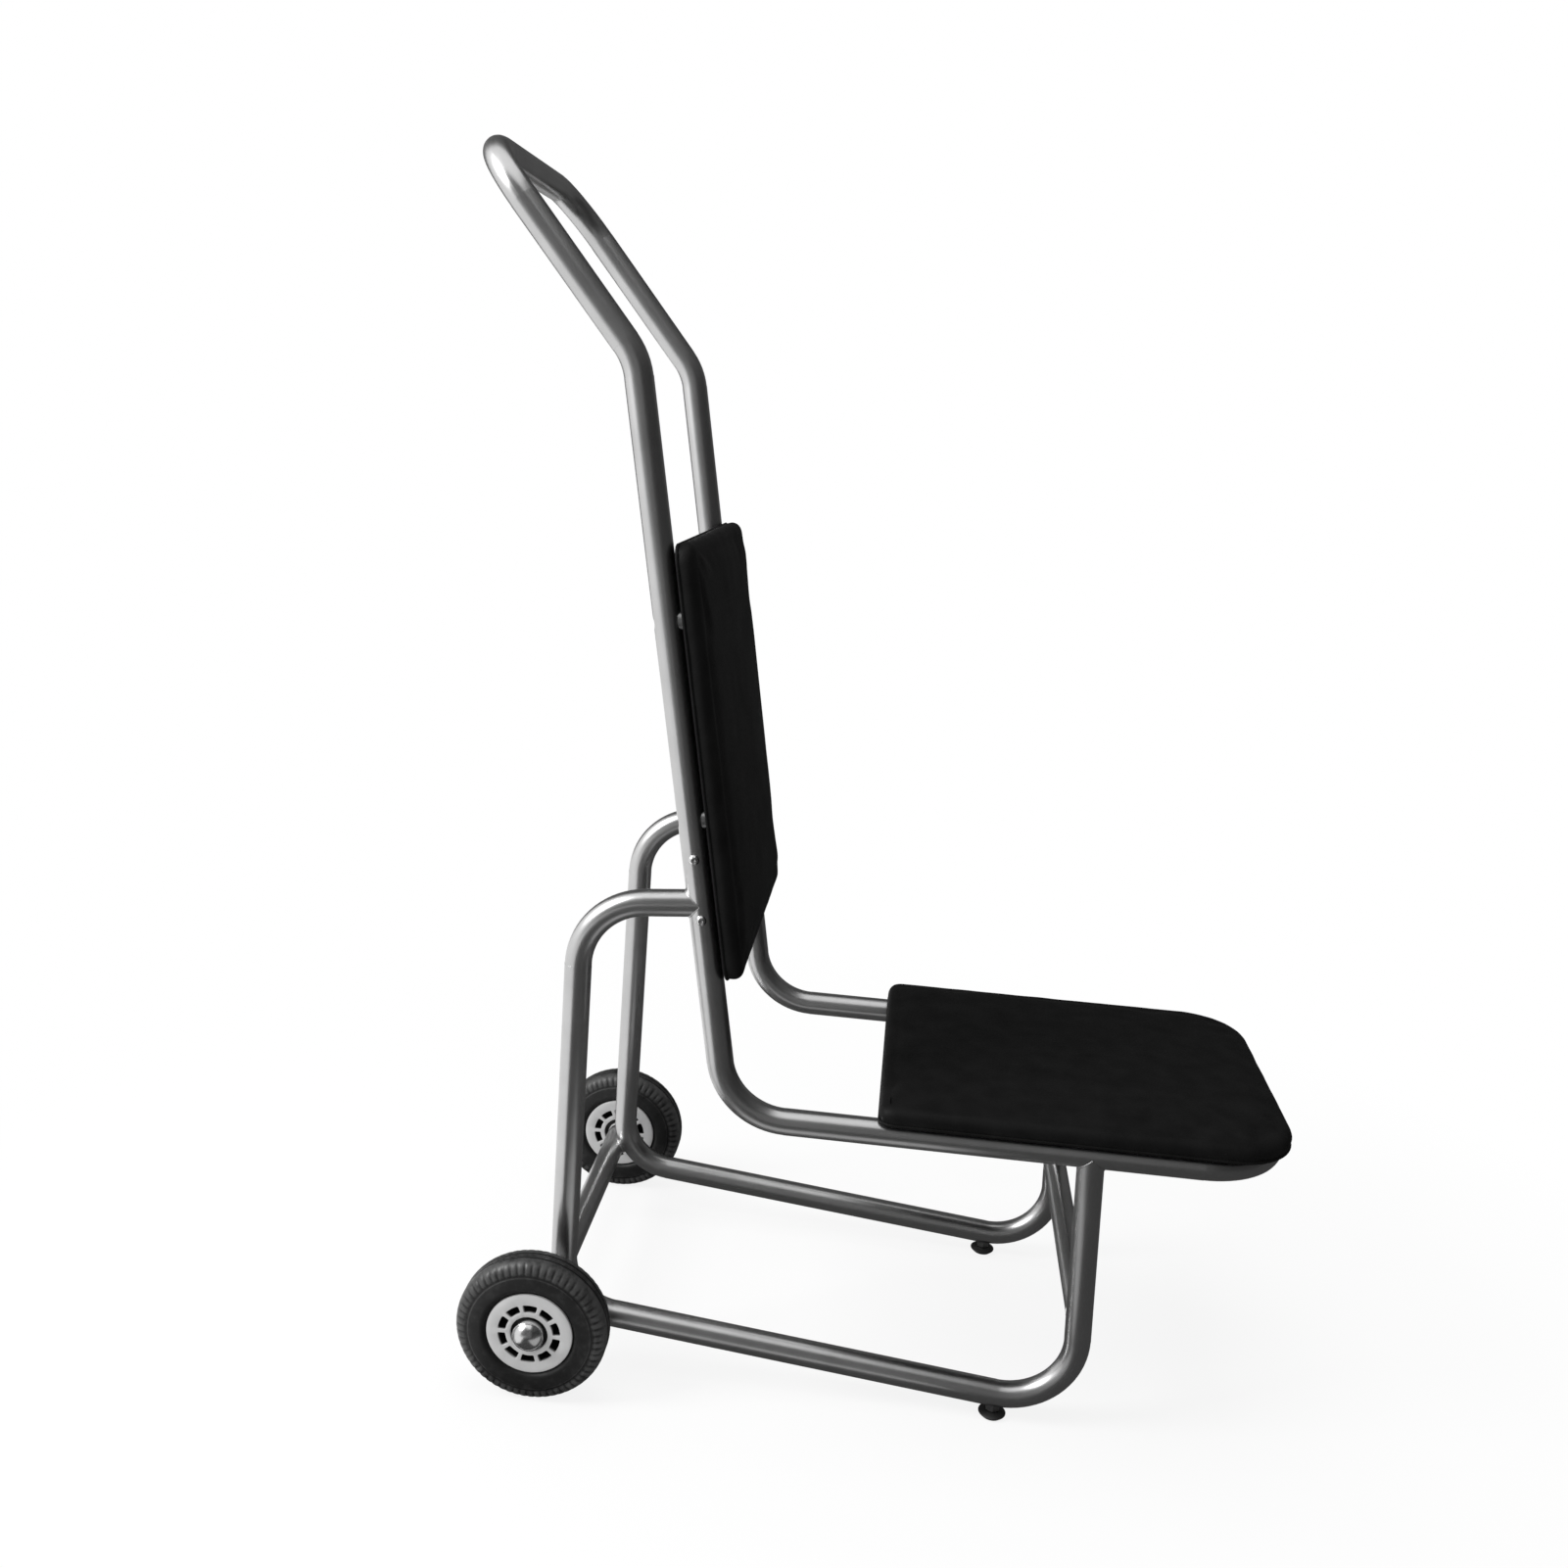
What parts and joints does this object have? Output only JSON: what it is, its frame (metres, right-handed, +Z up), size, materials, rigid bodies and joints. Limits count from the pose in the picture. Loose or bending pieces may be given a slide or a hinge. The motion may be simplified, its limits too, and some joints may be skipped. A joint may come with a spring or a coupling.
{
  "type": "stacking chair trolley",
  "caption": "Chair-shaped tubular steel trolley with a raked handle, padded back and lifting seat, rear wheels and levelling front feet, for wheeling stacks of chairs.",
  "frame": {"origin": "on the floor under the middle of the trolley's bounding box", "axes": "+X forward, from the handle towards the seat's nose; +Y to the trolley's left; +Z up"},
  "size_m": [0.8054, 0.4686, 1.1412],
  "materials": {
    "tube": "bright plated",
    "plain_steel": "drawn",
    "plated": "zinc plated",
    "tyre": "moulded",
    "rim": "moulded",
    "bush": "moulded",
    "glide": "moulded",
    "board": "plywood",
    "cover": "grained vinyl"
  },
  "bodies": {
    "frame": {"back_bow": "tube", "seat_bow": "tube", "left_side_frame": "tube", "right_side_frame": "tube", "front_crossbar": "tube", "axle_tube": "tube", "post_sleeves": "plain_steel", "axle_plugs": "plain_steel", "axle_rod": "plain_steel", "sleeve_screws": "plated", "inner_washers": "plated", "outer_washers": "plated", "axle_caps": "plated", "foot_nuts": "plated", "back_spacers": "plated", "back_screws": "plated", "back_tee_nuts": "plated", "seat_screws": "plated", "seat_tee_nuts": "plated", "back_board": "board", "seat_board": "board", "back_cushion": "cover", "seat_cushion": "cover"},
    "left_wheel": {"left_tyre": "tyre", "left_rim": "rim", "left_hub_bush": "bush"},
    "right_wheel": {"right_tyre": "tyre", "right_rim": "rim", "right_hub_bush": "bush"},
    "left_glide": {"left_foot_glide": "glide"},
    "left_stem": {"left_foot_stem": "plated"},
    "right_glide": {"right_foot_glide": "glide"},
    "right_stem": {"right_foot_stem": "plated"}
  },
  "joints": [
    {"name": "left_wheel_spin", "type": "hinge", "parent": "frame", "child": "left_wheel", "pos_m": [-0.29164, 0.204, 0.073], "axis": [0, 1, 0], "continuous": true},
    {"name": "left_glide_slide", "type": "slide", "parent": "frame", "child": "left_glide", "axis": [0, 0, 1], "range_m": [-0.005, 0]},
    {"name": "left_stem_turn", "type": "hinge", "parent": "left_glide", "child": "left_stem", "pos_m": [0.154, 0.148, 0.015], "axis": [0, 0, 1], "range_deg": [-1440, 0]},
    {"name": "right_wheel_spin", "type": "hinge", "parent": "frame", "child": "right_wheel", "pos_m": [-0.29164, -0.204, 0.073], "axis": [0, 1, 0], "continuous": true},
    {"name": "right_glide_slide", "type": "slide", "parent": "frame", "child": "right_glide", "axis": [0, 0, 1], "range_m": [-0.005, 0]},
    {"name": "right_stem_turn", "type": "hinge", "parent": "right_glide", "child": "right_stem", "pos_m": [0.154, -0.148, 0.015], "axis": [0, 0, 1], "range_deg": [-1440, 0]}
  ],
  "couplings": [
    {"joint": "left_glide_slide", "follows": "left_stem_turn", "m_per_rad": 0.00019894},
    {"joint": "right_glide_slide", "follows": "right_stem_turn", "m_per_rad": 0.00019894}
  ]
}
